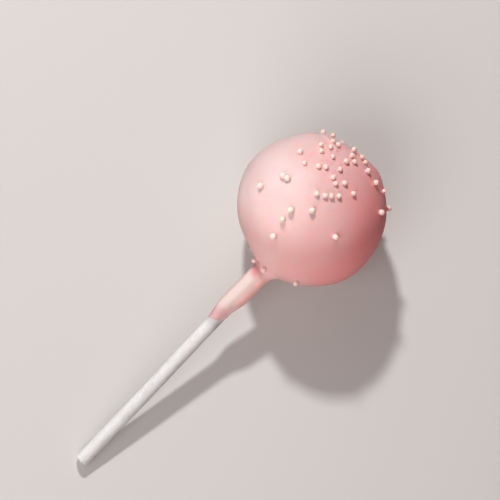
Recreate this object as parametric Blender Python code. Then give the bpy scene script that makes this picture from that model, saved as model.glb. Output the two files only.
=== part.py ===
"""A cake pop lying on its side: a ball of cake in a pink coating on a rolled paper stick.

The coating has run a little way down the stick as a thin sleeve, and small sugar pearls
are stuck to it, close together round the crown and few towards the stick.

World frame, in metres, +Z up: the origin is the middle of the small flat spot that the
ball rests on. +X points to the crown of the ball, and the stick leaves towards -X.

Pop frame, in which the shapes are worked out: the origin is the centre of the ball, and
+X runs along the stick towards the crown. It is tipped about Y, so that the outer end of
the stick touches the surface that the ball lies on.
"""

import math
import random

import bmesh
import bpy
from mathutils import Vector
from mathutils.bvhtree import BVHTree

MM = 0.001

# The ball, hand rolled, so not quite round
BALL_RADIUS = 21.1 * MM
NECK_RADIUS = 20.45 * MM
NECK_STARTS = 110.0
NECK_ENDS = 165.0
LUMPS_FADE = 155.0
LUMPS_END = 166.0
FLAT_SPOT_RADIUS = 4.2 * MM

# Swells and flats of the ball: bearing from the crown towards +Y in degrees, degrees
# above the plane of the stick, height in mm, and spread in degrees
LUMPS = (
    (11.0, 0.0, -0.57, 12.0),
    (45.0, 0.0, 0.2, 14.0),
    (92.0, 0.0, 0.3, 15.0),
    (121.0, 0.0, -0.4, 11.0),
    (160.0, 0.0, -0.3, 6.0),
    (-18.0, 0.0, 0.5, 7.0),
    (-110.0, 0.0, 0.5, 17.0),
    (-147.0, 0.0, -0.3, 9.0),
    (40.0, 48.0, 0.2, 22.0),
    (-70.0, 55.0, -0.15, 20.0),
    (-35.0, -45.0, 0.3, 20.0),
    (75.0, -40.0, -0.25, 18.0),
    (-130.0, -50.0, -0.3, 20.0),
)

# The stick, 5/32 inch by 4 inches, which runs beside the middle of the ball
STICK_RADIUS = 3.97 * MM / 2
STICK_LENGTH = 101.6 * MM
STICK_EDGE = 0.3 * MM
STICK_SIDES = 32
EDGE_SEGMENTS = 2
STICK_END_TO_CENTRE = 94.7 * MM
STICK_OFFSET = -1.73 * MM
OFFSET_STARTS = 120.0
OFFSET_ENDS = 160.0

# The sleeve of coating on the stick, measured from the outer end of the stick. Each
# slant or lean is how much the +Y side differs from the mean.
SLEEVE_TIP = 54.45 * MM
SLEEVE_TIP_SLANT = -0.85 * MM
SLEEVE_RISE_START = 54.9 * MM
SLEEVE_RISE_SLANT = -1.9 * MM
SLEEVE_RISE = 7.6 * MM
SLEEVE_COAT = 1.06 * MM
SLEEVE_LEAN = -0.32 * MM
SLEEVE_LEAN_START = 58.0 * MM
SLEEVE_LEAN_END = 72.0 * MM
FILLET = 2.7 * MM
FILLET_LEAN = -1.5 * MM

# The hole that the stick sits in
BORE_GAP = 0.25 * MM
BORE_END_GAP = 0.3 * MM
LEAST_WALL = 0.2 * MM

# Colour and roughness of each material
PINK_COATING = ((0.82, 0.47, 0.45), 0.42)
CREAM_SUGAR = ((0.93, 0.86, 0.76), 0.35)
WHITE_PAPER = ((0.83, 0.82, 0.79), 0.7)
SHARP_ANGLE = math.radians(30.0)

# Mesh rows along the outline and columns round it
COLUMNS = 48
BALL_ROWS = 26
FILLET_ROWS = 5
SLEEVE_ROWS = 8
CUT_DISTANCE = 0.0001 * MM

# Sugar pearls: least and largest radius in mm, the same for the larger ones, and how high
# the middle stands above the coating, as a share of the radius
PEARL_RADII = (0.66, 0.80)
LARGE_RADII = (0.80, 0.95)
LARGE_GROUP = "scattered"
BEHIND_GROUP = "behind the edge"
PEARL_HEIGHT = 0.85
PEARL_SIDES = 6
PEARL_RINGS = 4
PEARL_SPACING = 1.9 * MM
PEARL_FLOOR_GAP = 0.4 * MM
PEARL_SEED = 27
PLACING_STEPS = 3

# The pearls on the side that faces up, in mm to the right of the ball's centre and above
# it, as seen from that side with the stick pointing down to the left at STICK_ANGLE. Those
# behind the edge lie on the far side of the coating, and show only past its edge
STICK_ANGLE = 46.5
SHOWN_PEARLS = {
    "edge round the crown": (
        (3.45, 21.35), (6.1, 20.5), (11.95, 16.55), (14.2, 14.55), (20.35, 5.1), (21.55, 0.45),
    ),
    "patch on the crown": (
        (2.8, 17.95), (2.95, 16.15), (6.05, 18.85), (5.45, 17.25), (7.6, 17.95), (11.4, 14.85),
        (5.95, 14.55), (9.8, 13.35), (12.05, 13.25), (15.2, 13.1), (15.8, 10.75), (2.0, 11.95),
        (3.95, 11.75), (8.05, 11.1), (17.95, 7.45), (-1.85, 12.85), (-2.95, 16.05),
    ),
    "line under the patch": (
        (6.0, 8.9), (6.75, 7.25), (9.25, 7.3), (1.55, 4.35), (3.9, 3.8), (5.6, 3.75),
        (7.65, 3.7), (11.65, 4.45),
    ),
    "scattered": (
        (19.55, -0.75), (0.25, -0.35), (-5.65, -0.25), (-7.75, 9.35), (-6.55, 8.65), (-13.95, 6.55),
        (-7.85, -2.75), (-10.45, -7.45), (6.65, -7.55),
    ),
    "by the stick": (
        (-13.05, -16.65), (-15.7, -14.1), (-4.15, -20.35),
    ),
    "behind the edge": (
        (-16.25, -10.7),
    ),
}

# The pearls on the side that faces down, spread by a rule: as likely as a bell curve of
# CROWN_SPREAD degrees round the crown and THIN_SPREAD elsewhere, and none near the stick.
# None is so near the ball's edge that it would be seen past it from above.
HIDDEN_PEARLS = 36
HIDDEN_TRIES = 4000
HIDDEN_BELOW = -0.3
CROWN_SPREAD = 50.0
THIN_SPREAD = 0.07
NECK_CLEAR = 150.0

# Where the ball and the stick touch the surface
BALL_HEIGHT = math.sqrt(BALL_RADIUS ** 2 - FLAT_SPOT_RADIUS ** 2)
STICK_REACH = math.hypot(STICK_END_TO_CENTRE - STICK_EDGE, STICK_RADIUS)
STICK_SLOPE = (math.asin(BALL_HEIGHT / STICK_REACH)
               - math.atan2(STICK_RADIUS, STICK_END_TO_CENTRE - STICK_EDGE))


def clear_scene():
    """Remove the objects that a new file holds."""
    for thing in list(bpy.data.objects):
        bpy.data.objects.remove(thing, do_unlink=True)


def smoothstep(low, high, value):
    """Ease from 0 at low to 1 at high."""
    share = min(max((value - low) / (high - low), 0.0), 1.0)
    return share * share * (3.0 - 2.0 * share)


def plain_material(name, finish):
    """A Principled material from a finish, which is a colour and a roughness."""
    colour, roughness = finish
    material = bpy.data.materials.new(name)
    material.use_nodes = True
    shader = material.node_tree.nodes["Principled BSDF"]
    shader.inputs["Base Color"].default_value = (*colour, 1.0)
    shader.inputs["Roughness"].default_value = roughness
    shader.inputs["Metallic"].default_value = 0.0
    return material


def put_in_scene(name, shape, material, parent):
    """Turn a bmesh into a named object under the pop's empty."""
    mesh = bpy.data.meshes.new(name)
    shape.to_mesh(mesh)
    shape.free()
    mesh.materials.append(material)
    thing = bpy.data.objects.new(name, mesh)
    thing.parent = parent
    bpy.context.scene.collection.objects.link(thing)
    return thing


def shade_round(thing):
    """Smooth shading, apart from edges sharper than SHARP_ANGLE."""
    thing.data.shade_smooth()
    thing.data.set_sharp_from_angle(angle=SHARP_ANGLE)


def up_direction():
    """The world's up direction in the pop frame."""
    return Vector((math.sin(STICK_SLOPE), 0.0, math.cos(STICK_SLOPE)))


def lump_height(direction):
    """How far the swells and flats move the ball's surface in this direction."""
    total = 0.0
    for bearing, above, height, spread in LUMPS:
        turn = math.radians(bearing)
        lift = math.radians(above)
        middle = Vector((math.cos(turn) * math.cos(lift),
                         math.sin(turn) * math.cos(lift),
                         math.sin(lift)))
        away = math.degrees(direction.angle(middle)) / spread
        total += height * MM * math.exp(-away * away / 2.0)
    return total


def ball_point(polar, side):
    """The ball's surface at an angle from the crown, in degrees, and an azimuth round X.

    The radius eases to the neck's, and the rings slide over from the ball's centre to
    the stick's axis as they near the neck.
    """
    angle = math.radians(polar)
    direction = Vector((math.cos(angle),
                        math.sin(angle) * math.cos(side),
                        math.sin(angle) * math.sin(side)))
    neck = smoothstep(NECK_STARTS, NECK_ENDS, polar)
    radius = BALL_RADIUS + (NECK_RADIUS - BALL_RADIUS) * neck
    radius += lump_height(direction) * (1.0 - smoothstep(LUMPS_FADE, LUMPS_END, polar))
    point = direction * radius
    point.y += STICK_OFFSET * smoothstep(OFFSET_STARTS, OFFSET_ENDS, polar)
    return point


def stick_point(along, radius, side):
    """A point at a radius from the stick's axis, along from the ball's centre."""
    return Vector((along,
                   STICK_OFFSET + radius * math.cos(side),
                   radius * math.sin(side)))


def sleeve_radius(from_end, side):
    """Outer radius of the sleeve: the coat grows from nothing, and leans to one side."""
    start = SLEEVE_RISE_START + SLEEVE_RISE_SLANT * math.cos(side)
    rise = smoothstep(start, start + SLEEVE_RISE, from_end)
    lean = SLEEVE_LEAN * math.cos(side)
    lean *= smoothstep(SLEEVE_LEAN_START, SLEEVE_LEAN_END, from_end)
    radius = STICK_RADIUS + (SLEEVE_COAT + lean) * rise
    return max(radius, STICK_RADIUS + BORE_GAP + LEAST_WALL)


def outline(side):
    """Points from just past the crown to the sleeve's tip, in the half plane at side.

    The ball's arc meets the sleeve in a round fillet that touches both: its centre is a
    fillet's radius outside the neck's radius and outside the sleeve.
    """
    fillet = FILLET + FILLET_LEAN * math.cos(side)
    neck = sleeve_radius(SLEEVE_LEAN_END, side)
    reach = NECK_RADIUS + fillet
    contact = math.asin((neck + fillet) / reach)
    last_polar = 180.0 - math.degrees(contact)
    points = [ball_point(last_polar * row / BALL_ROWS, side) for row in range(1, BALL_ROWS + 1)]
    fillet_along = -reach * math.cos(contact)
    for row in range(1, FILLET_ROWS + 1):
        turn = -contact - (math.pi / 2 - contact) * row / FILLET_ROWS
        points.append(stick_point(fillet_along + fillet * math.cos(turn),
                                  neck + fillet + fillet * math.sin(turn), side))
    tip = SLEEVE_TIP + SLEEVE_TIP_SLANT * math.cos(side) - STICK_END_TO_CENTRE
    for row in range(1, SLEEVE_ROWS + 1):
        along = fillet_along + (tip - fillet_along) * row / SLEEVE_ROWS
        points.append(stick_point(along, sleeve_radius(along + STICK_END_TO_CENTRE, side), side))
    return points


def bore_points(side):
    """The stick's hole, from the sleeve's tip to a little past the stick's inner end."""
    tip = SLEEVE_TIP + SLEEVE_TIP_SLANT * math.cos(side) - STICK_END_TO_CENTRE
    end = STICK_LENGTH - STICK_END_TO_CENTRE + BORE_END_GAP
    radius = STICK_RADIUS + BORE_GAP
    return [stick_point(tip, radius, side), stick_point(end, radius, side)]


def ring_skin(points_at):
    """A skin of rings closed at the crown, from the points that points_at gives for a side."""
    skin = bmesh.new()
    columns = []
    for column in range(COLUMNS):
        side = 2.0 * math.pi * column / COLUMNS
        columns.append([skin.verts.new(point) for point in points_at(side)])
    crown = skin.verts.new(ball_point(0.0, 0.0))
    for column in range(COLUMNS):
        here = columns[column]
        beside = columns[(column + 1) % COLUMNS]
        skin.faces.new((crown, here[0], beside[0]))
        for row in range(len(here) - 1):
            skin.faces.new((here[row], here[row + 1], beside[row + 1], beside[row]))
    return skin, columns


def coated_ball_skin():
    """The ball, its sleeve and the hole as one closed skin, cut flat where it rests."""
    skin, columns = ring_skin(lambda side: outline(side) + bore_points(side))
    skin.faces.new([column[-1] for column in columns])
    down = -up_direction()
    cut = bmesh.ops.bisect_plane(skin, geom=skin.verts[:] + skin.edges[:] + skin.faces[:],
                                 dist=CUT_DISTANCE, plane_co=down * BALL_HEIGHT,
                                 plane_no=down, clear_outer=True)
    rim = [item for item in cut["geom_cut"] if isinstance(item, bmesh.types.BMEdge)]
    bmesh.ops.edgeloop_fill(skin, edges=rim)
    bmesh.ops.recalc_face_normals(skin, faces=skin.faces)
    return skin


def shown_pearl_spot(tree, right, up, height, front):
    """The spot and normal under a pearl seen right and up of the ball's centre.

    The pearl's middle is height above the skin, so the point below it is found by aiming
    at the skin, comparing, and aiming again. Past the ball's edge the edge is taken. With
    front at 1 the aim comes from above, and with -1 from below.
    """
    turn = math.radians(STICK_ANGLE)
    seen = Vector((right * math.cos(turn) + up * math.sin(turn),
                   up * math.cos(turn) - right * math.sin(turn),
                   0.0)) * MM
    above = Vector((0.0, 0.0, 2.0 * front * BALL_RADIUS))
    aim = seen.copy()
    for _ in range(PLACING_STEPS):
        spot, normal, _, _ = tree.ray_cast(aim + above, -above)
        if spot is None:
            spot, normal, _, _ = tree.find_nearest(aim)
        miss = seen - (spot + normal * height)
        aim += Vector((miss.x, miss.y, 0.0))
    return spot, normal


def shown_pearls(tree, draw):
    """Middle, normal and radius of each pearl on the side that faces up."""
    places = []
    for name, group in SHOWN_PEARLS.items():
        radii = LARGE_RADII if name == LARGE_GROUP else PEARL_RADII
        front = -1.0 if name == BEHIND_GROUP else 1.0
        for right, up in group:
            radius = draw.uniform(*radii) * MM
            height = radius * PEARL_HEIGHT
            spot, normal = shown_pearl_spot(tree, right, up, height, front)
            places.append((spot + normal * height, normal, radius))
    return places


def hidden_pearls(tree, draw, shown):
    """The same for the side that faces down, clear of the surface and of each other."""
    places = []
    for _ in range(HIDDEN_TRIES):
        if len(places) == HIDDEN_PEARLS:
            break
        height = draw.uniform(-1.0, HIDDEN_BELOW)
        turn = draw.uniform(0.0, 2.0 * math.pi)
        level = math.sqrt(1.0 - height * height)
        direction = Vector((level * math.cos(turn), level * math.sin(turn), height))
        polar = math.degrees(math.acos(direction.x))
        chance = math.exp(-(polar / CROWN_SPREAD) ** 2) + THIN_SPREAD
        keep = draw.random() < chance and polar < NECK_CLEAR
        radius = draw.uniform(*PEARL_RADII) * MM
        spot, normal, _, _ = tree.ray_cast(direction * 2.0 * BALL_RADIUS, -direction)
        middle = spot + normal * radius * PEARL_HEIGHT
        floor_gap = middle.dot(up_direction()) + BALL_HEIGHT - radius
        nearest = min((middle - other[0]).length for other in shown + places)
        if keep and floor_gap > PEARL_FLOOR_GAP and nearest > PEARL_SPACING:
            places.append((middle, normal, radius))
    return places


def pearl_shape(middle, normal, radius):
    """A small faceted ball with a pole along the coating's normal."""
    shape = bmesh.new()
    bmesh.ops.create_uvsphere(shape, u_segments=PEARL_SIDES, v_segments=PEARL_RINGS,
                              radius=radius)
    bmesh.ops.rotate(shape, verts=shape.verts, matrix=normal.to_track_quat("Z", "Y").to_matrix())
    bmesh.ops.translate(shape, verts=shape.verts, vec=middle)
    return shape


def fuse_pearls(ball, places, material):
    """Join a pearl to the ball at each place with one union, and apply it."""
    pearls = bpy.data.collections.new("pearls")
    bpy.context.scene.collection.children.link(pearls)
    made = []
    for number, place in enumerate(places):
        pearl = put_in_scene(f"pearl_{number}", pearl_shape(*place), material, ball.parent)
        bpy.context.scene.collection.objects.unlink(pearl)
        pearls.objects.link(pearl)
        made.append(pearl)
    fuse = ball.modifiers.new("fuse_pearls", "BOOLEAN")
    fuse.operation = "UNION"
    fuse.operand_type = "COLLECTION"
    fuse.collection = pearls
    fuse.solver = "EXACT"
    bpy.context.view_layer.update()
    fused = ball.evaluated_get(bpy.context.evaluated_depsgraph_get())
    joined = bpy.data.meshes.new_from_object(fused)
    ball.modifiers.clear()
    ball.data = joined
    for pearl in made:
        bpy.data.objects.remove(pearl, do_unlink=True)
    bpy.data.collections.remove(pearls)


def make_coated_ball(parent):
    """The ball of cake in its coating, with the sleeve and the pearls."""
    pink = plain_material("pink_coating", PINK_COATING)
    cream = plain_material("sugar_pearl", CREAM_SUGAR)
    outside, _ = ring_skin(outline)
    bmesh.ops.recalc_face_normals(outside, faces=outside.faces)
    tree = BVHTree.FromBMesh(outside)
    outside.free()
    draw = random.Random(PEARL_SEED)
    shown = shown_pearls(tree, draw)
    hidden = hidden_pearls(tree, draw, shown)
    ball = put_in_scene("coated_ball", coated_ball_skin(), pink, parent)
    fuse_pearls(ball, shown + hidden, cream)
    shade_round(ball)
    print(f"coated ball: {len(shown)} pearls shown and {len(hidden)} below")


def make_stick(parent):
    """The paper stick: a round bar with the edges of both ends rounded over."""
    bar = bmesh.new()
    bmesh.ops.create_cone(bar, cap_ends=True, segments=STICK_SIDES, radius1=STICK_RADIUS,
                          radius2=STICK_RADIUS, depth=STICK_LENGTH)
    rims = [edge for edge in bar.edges
            if abs(edge.verts[0].co.z - edge.verts[1].co.z) < STICK_EDGE]
    bmesh.ops.bevel(bar, geom=rims, offset=STICK_EDGE, offset_type="OFFSET",
                    segments=EDGE_SEGMENTS, profile=0.5, affect="EDGES", clamp_overlap=True)
    stick = put_in_scene("stick", bar, plain_material("white_paper", WHITE_PAPER), parent)
    stick.rotation_euler = (0.0, math.pi / 2, 0.0)
    stick.location = (STICK_LENGTH / 2 - STICK_END_TO_CENTRE, STICK_OFFSET, 0.0)
    shade_round(stick)


def main():
    """Build the pop and lay it down."""
    clear_scene()
    pop = bpy.data.objects.new("pop", None)
    bpy.context.scene.collection.objects.link(pop)
    pop.location = (0.0, 0.0, BALL_HEIGHT)
    pop.rotation_euler = (0.0, -STICK_SLOPE, 0.0)
    make_stick(pop)
    make_coated_ball(pop)
    print(f"the stick slopes by {math.degrees(STICK_SLOPE):.2f} degrees")


main()
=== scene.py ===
# %% [markdown]
# # A cake pop, lying on its side
#
# A cake pop is a ball of cake crumbs, rolled by hand, pushed on to a paper stick and dipped
# in melted pink coating. Some of the coating runs down the stick and sets there as a thin
# sleeve. Small sugar pearls are scattered on while it is wet.
#
# The solids of the pop come from model.glb. This lesson dresses them: it makes each visible
# surface again as a fine grid that numpy works out, and gives it a finish made of nodes.
# The first cell loads the solids and keeps the box that they fill.

# %% Load the solids
import math
import random

import bpy
import numpy as np
from mathutils import Matrix, Vector
from mathutils.bvhtree import BVHTree


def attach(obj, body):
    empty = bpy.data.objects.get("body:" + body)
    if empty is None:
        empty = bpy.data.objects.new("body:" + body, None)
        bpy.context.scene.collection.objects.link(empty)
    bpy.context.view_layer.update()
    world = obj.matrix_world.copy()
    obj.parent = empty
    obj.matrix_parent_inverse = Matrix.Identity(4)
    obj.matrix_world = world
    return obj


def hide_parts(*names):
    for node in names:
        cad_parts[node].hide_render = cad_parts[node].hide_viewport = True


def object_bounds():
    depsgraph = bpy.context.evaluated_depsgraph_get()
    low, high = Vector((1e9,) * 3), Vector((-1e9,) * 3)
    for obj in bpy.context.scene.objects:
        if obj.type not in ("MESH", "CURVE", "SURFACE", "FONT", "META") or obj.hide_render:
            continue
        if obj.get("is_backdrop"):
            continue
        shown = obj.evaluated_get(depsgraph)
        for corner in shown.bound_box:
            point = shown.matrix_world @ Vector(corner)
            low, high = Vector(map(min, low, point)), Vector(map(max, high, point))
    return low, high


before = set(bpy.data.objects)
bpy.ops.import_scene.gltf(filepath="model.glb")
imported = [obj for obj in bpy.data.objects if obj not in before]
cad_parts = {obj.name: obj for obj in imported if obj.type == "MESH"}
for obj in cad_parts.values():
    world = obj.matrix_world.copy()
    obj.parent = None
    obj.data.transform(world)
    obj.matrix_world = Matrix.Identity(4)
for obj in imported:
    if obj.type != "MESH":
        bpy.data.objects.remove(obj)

CAD_BOX = [list(corner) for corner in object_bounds()]

# %% [markdown]
# ## How the pop lies
#
# Let go, a cake pop tips over until the outer end of its stick touches the table. It then
# rests on a small flat spot under the ball and on the lowest edge of the stick's end.
#
# It is easier to work out the shapes in a frame of the pop's own: the ball's centre is the
# origin, x runs along the stick to the crown of the ball, and the rings lie about x. The
# slope follows from the sizes of the ball and the stick, so nothing is fitted by eye. Three
# unit vectors then carry every point over to the table's frame.

# %% The pop's own frame
MM = 0.001
BALL_RADIUS = 21.1 * MM
FLAT_SPOT_RADIUS = 4.2 * MM
STICK_RADIUS = 3.97 * MM / 2
STICK_LENGTH = 101.6 * MM
STICK_EDGE = 0.3 * MM
STICK_END_TO_CENTRE = 94.7 * MM
STICK_OFFSET = -1.73 * MM

BALL_HEIGHT = math.sqrt(BALL_RADIUS ** 2 - FLAT_SPOT_RADIUS ** 2)
STICK_REACH = math.hypot(STICK_END_TO_CENTRE - STICK_EDGE, STICK_RADIUS)
STICK_SLOPE = (math.asin(BALL_HEIGHT / STICK_REACH)
               - math.atan2(STICK_RADIUS, STICK_END_TO_CENTRE - STICK_EDGE))
BALL_CENTRE = np.array([0.0, 0.0, BALL_HEIGHT])
ALONG = np.array([math.cos(STICK_SLOPE), 0.0, math.sin(STICK_SLOPE)])
ACROSS = np.array([0.0, 1.0, 0.0])
ABOVE = np.array([-math.sin(STICK_SLOPE), 0.0, math.cos(STICK_SLOPE)])
POP_AXES = np.array([ALONG, ACROSS, ABOVE])


def to_table(points):
    """Pop frame to table frame: centre + x times ALONG + y times ACROSS + z times ABOVE."""
    return BALL_CENTRE + points @ POP_AXES


print(f"the stick slopes by {math.degrees(STICK_SLOPE):.2f} degrees")

# %% [markdown]
# ## The camera
#
# A pop held up to a camera shows its whole side. Lying down, it shows that same side to a
# camera that looks down on it, square to the stick, so the camera looks along the pop's own
# z axis. It is turned until the stick runs down to the left at 46.5 degrees.
#
# A long lens from 1.5 m away draws the ball as a circle. Its focal length is the sensor's
# width times the distance, over the width of the picture at the pop. The place of the
# ball's centre in the picture, in pixels, says how far to the side the camera aims.

# %% Make the camera
PICTURE = 500
PIXEL = 0.27762 * MM
BALL_PIXEL = (310.5, 210.0)
STICK_ANGLE = math.radians(46.5)
CAMERA_DISTANCE = 1.5
CLIP_END = 10.0
SENSOR = 36.0

RIGHT = math.cos(STICK_ANGLE) * ALONG - math.sin(STICK_ANGLE) * ACROSS
UP = math.sin(STICK_ANGLE) * ALONG + math.cos(STICK_ANGLE) * ACROSS
VIEW_AXES = np.array([RIGHT, UP, ABOVE])
SEEN_RIGHT = POP_AXES @ RIGHT
SEEN_UP = POP_AXES @ UP


def aim_from(place, target, up):
    """A matrix at place whose -z looks at target, with its y as near to up as can be."""
    back = (place - target) / np.linalg.norm(place - target)
    right = np.cross(up, back)
    right /= np.linalg.norm(right)
    turn = np.column_stack([right, np.cross(back, right), back])
    matrix = Matrix(turn.tolist()).to_4x4()
    matrix.translation = place
    return matrix


lens = bpy.data.cameras.new("camera")
lens.sensor_width = SENSOR
lens.lens = SENSOR * CAMERA_DISTANCE / (PICTURE * PIXEL)
lens.clip_end = CLIP_END
camera = bpy.data.objects.new("camera", lens)
bpy.context.scene.collection.objects.link(camera)
bpy.context.scene.camera = camera
aim = (BALL_CENTRE - (BALL_PIXEL[0] - PICTURE / 2) * PIXEL * RIGHT
       + (BALL_PIXEL[1] - PICTURE / 2) * PIXEL * UP)
camera.matrix_world = aim_from(aim + CAMERA_DISTANCE * ABOVE, aim, UP)
print(f"lens {lens.lens:.0f} mm")

# %% [markdown]
# ## From a grid of points to a mesh
#
# Every shape here is a skin round an axis: rows of points run along it, and columns run
# round it. The corners of the faces need no loop. A table holds the number of each point,
# and the same table shifted by one row, one column or both holds the other three corners.
# A fan of triangles closes each end at a pole.
#
# `foreach_set` then hands whole arrays to Blender, which is many times faster than adding
# the points one by one.

# %% Helpers for grids
def ease(low, high, values):
    """0 below low and 1 above high, with 3 t squared minus 2 t cubed between them."""
    share = np.clip((values - low) / (high - low), 0.0, 1.0)
    return share * share * (3.0 - 2.0 * share)


def bell(values, spread):
    """e to the power of minus half the square of value over spread."""
    return np.exp(-0.5 * (values / spread) ** 2)


def grid_quads(rows, columns):
    """Corner numbers of the quads of a grid that wraps round its columns."""
    number = np.arange(rows * columns).reshape(rows, columns)
    beside = np.roll(number, -1, axis=1)
    return np.stack([number[:-1], number[1:], beside[1:], beside[:-1]], axis=-1).reshape(-1, 4)


def grid_fans(rows, columns, first_pole, last_pole):
    """Corner numbers of the triangles that close the first and the last row at a pole."""
    number = np.arange(rows * columns).reshape(rows, columns)
    beside = np.roll(number, -1, axis=1)
    first = np.stack([np.full(columns, first_pole), number[0], beside[0]], axis=-1)
    last = np.stack([np.full(columns, last_pole), beside[-1], number[-1]], axis=-1)
    return np.concatenate([first, last])


def make_mesh(name, points, quads, triangles):
    """A smooth mesh object from arrays of points, four-cornered and three-cornered faces."""
    mesh = bpy.data.meshes.new(name)
    corners = np.concatenate([quads.ravel(), triangles.ravel()])
    sizes = np.concatenate([np.full(len(quads), 4), np.full(len(triangles), 3)])
    mesh.vertices.add(len(points))
    mesh.vertices.foreach_set("co", points.astype(np.float32).ravel())
    mesh.loops.add(len(corners))
    mesh.loops.foreach_set("vertex_index", corners.astype(np.int32))
    mesh.polygons.add(len(sizes))
    mesh.polygons.foreach_set("loop_start", (np.cumsum(sizes) - sizes).astype(np.int32))
    mesh.update(calc_edges=True)
    mesh.validate()
    mesh.shade_smooth()
    thing = bpy.data.objects.new(name, mesh)
    bpy.context.scene.collection.objects.link(thing)
    print(f"{name}: {len(points)} points, {len(quads) * 2 + len(triangles)} triangles")
    return thing


def skin_object(name, grid, first_pole, last_pole):
    """A closed skin from a grid of points in the pop frame and a point for each end."""
    rows, columns = grid.shape[:2]
    points = np.concatenate([grid.reshape(-1, 3), [first_pole, last_pole]])
    count = rows * columns
    return make_mesh(name, to_table(points), grid_quads(rows, columns),
                     grid_fans(rows, columns, count, count + 1))


def add_values(thing, name, values):
    """Give each point of a skin a number that the nodes can read by name."""
    attribute = thing.data.attributes.new(name, "FLOAT", "POINT")
    attribute.data.foreach_set("value", values.astype(np.float32).ravel())


print("a skin of 3 rows and 4 columns has", len(grid_quads(3, 4)), "quads between its rows")

# %% [markdown]
# ## The coated ball
#
# A ball rolled between two hands is never quite round. Thirteen soft swells and flats, each
# a bell of a given height and spread round one direction, move its surface by up to half a
# millimetre. The surface is a radius for each direction: the angle from the crown, and the
# angle round the stick's axis.
#
# The stick went in a little beside the middle, so near the neck the rings slide over from
# the ball's centre to the stick's axis. A few low waves across the whole skin stand for
# coating that has flowed a little before it set.

# %% The ball's surface
NECK_RADIUS = 20.45 * MM
NECK_STARTS, NECK_ENDS = 110.0, 165.0
LUMPS_FADE, LUMPS_END = 155.0, 166.0
OFFSET_STARTS, OFFSET_ENDS = 120.0, 160.0

# Bearing from the crown and angle above the stick's plane in degrees, height in mm, spread
# in degrees
LUMPS = np.array((
    (11.0, 0.0, -0.57, 12.0),
    (45.0, 0.0, 0.2, 14.0),
    (92.0, 0.0, 0.3, 15.0),
    (121.0, 0.0, -0.4, 11.0),
    (160.0, 0.0, -0.3, 6.0),
    (-18.0, 0.0, 0.5, 7.0),
    (-110.0, 0.0, 0.5, 17.0),
    (-147.0, 0.0, -0.3, 9.0),
    (40.0, 48.0, 0.2, 22.0),
    (-70.0, 55.0, -0.15, 20.0),
    (-35.0, -45.0, 0.3, 20.0),
    (75.0, -40.0, -0.25, 18.0),
    (-130.0, -50.0, -0.3, 20.0),
))


def lump_height(directions):
    """Sum of height times a bell of the angle between a direction and each lump's middle."""
    bearing, above = np.radians(LUMPS[:, 0]), np.radians(LUMPS[:, 1])
    middles = np.stack([np.cos(bearing) * np.cos(above),
                        np.sin(bearing) * np.cos(above),
                        np.sin(above)])
    away = np.degrees(np.arccos(np.clip(directions @ middles, -1.0, 1.0)))
    return bell(away, LUMPS[:, 3]) @ LUMPS[:, 2] * MM


def ball_points(polar, side):
    """Direction times radius, where the radius eases to the neck's and takes the lumps.

    The direction is (cos p, sin p cos s, sin p sin s) for the angle p from the crown and
    the angle s round the axis, and the ring then slides towards the stick's axis.
    """
    angle = np.radians(polar)
    directions = np.stack([np.cos(angle) + 0.0 * side,
                           np.sin(angle) * np.cos(side),
                           np.sin(angle) * np.sin(side)], axis=-1)
    radius = BALL_RADIUS + (NECK_RADIUS - BALL_RADIUS) * ease(NECK_STARTS, NECK_ENDS, polar)
    radius = radius + lump_height(directions) * (1.0 - ease(LUMPS_FADE, LUMPS_END, polar))
    points = directions * radius[..., None]
    points[..., 1] += STICK_OFFSET * ease(OFFSET_STARTS, OFFSET_ENDS, polar)
    return points


print(f"{len(LUMPS)} swells and flats, from {LUMPS[:, 2].min()} to {LUMPS[:, 2].max()} mm high")

# %% [markdown]
# ## The sleeve on the stick
#
# Melted coating creeps down the stick and thins out to a film. Its edge isn't square: it
# reaches lower on one side, and surface tension rounds it over. The outer radius is the
# stick's plus a coat that eases in from nothing, starts lower on one side, and leans to the
# other as it nears the ball. A round fillet joins it to the ball.
#
# The skin doesn't stop at the sleeve's edge. It turns in over a rounded lip and runs back
# up inside, a hair's breadth within the paper, so that no gap shows and the coating is one
# closed solid.

# %% The sleeve's surface
SLEEVE_TIP, SLEEVE_TIP_SLANT = 54.45 * MM, -0.85 * MM
SLEEVE_CUT_BACK, SLEEVE_CUT_SPREAD = 1.3 * MM, 0.45
SLEEVE_RISE_START, SLEEVE_RISE_SLANT, SLEEVE_RISE = 54.9 * MM, -1.9 * MM, 7.6 * MM
SLEEVE_COAT, SLEEVE_LEAN = 1.06 * MM, -0.32 * MM
SLEEVE_LEAN_START, SLEEVE_LEAN_END = 58.0 * MM, 72.0 * MM
FILLET, FILLET_LEAN = 2.7 * MM, -1.5 * MM
FILM = 0.09 * MM
INTO_PAPER = 0.06 * MM
BORE_END_GAP = 0.3 * MM


def stick_points(along, radius, side):
    """Points at a radius from the stick's axis: (along, offset + r cos s, r sin s)."""
    flat = 0.0 * (along + radius + side)
    return np.stack([along + flat,
                     STICK_OFFSET + radius * np.cos(side) + flat,
                     radius * np.sin(side) + flat], axis=-1)


def sleeve_radius(from_end, side):
    """The stick's radius plus the coat times its rise, and never less than the film."""
    start = SLEEVE_RISE_START + SLEEVE_RISE_SLANT * np.cos(side)
    rise = ease(start, start + SLEEVE_RISE, from_end)
    lean = SLEEVE_LEAN * np.cos(side) * ease(SLEEVE_LEAN_START, SLEEVE_LEAN_END, from_end)
    return np.maximum(STICK_RADIUS + (SLEEVE_COAT + lean) * rise, STICK_RADIUS + FILM)


def sleeve_tip(side):
    """Where the sleeve ends: a slanted ring with a bell cut back on its thin side."""
    return (SLEEVE_TIP + SLEEVE_TIP_SLANT * np.cos(side)
            + SLEEVE_CUT_BACK * bell(side - math.pi, SLEEVE_CUT_SPREAD))


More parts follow.
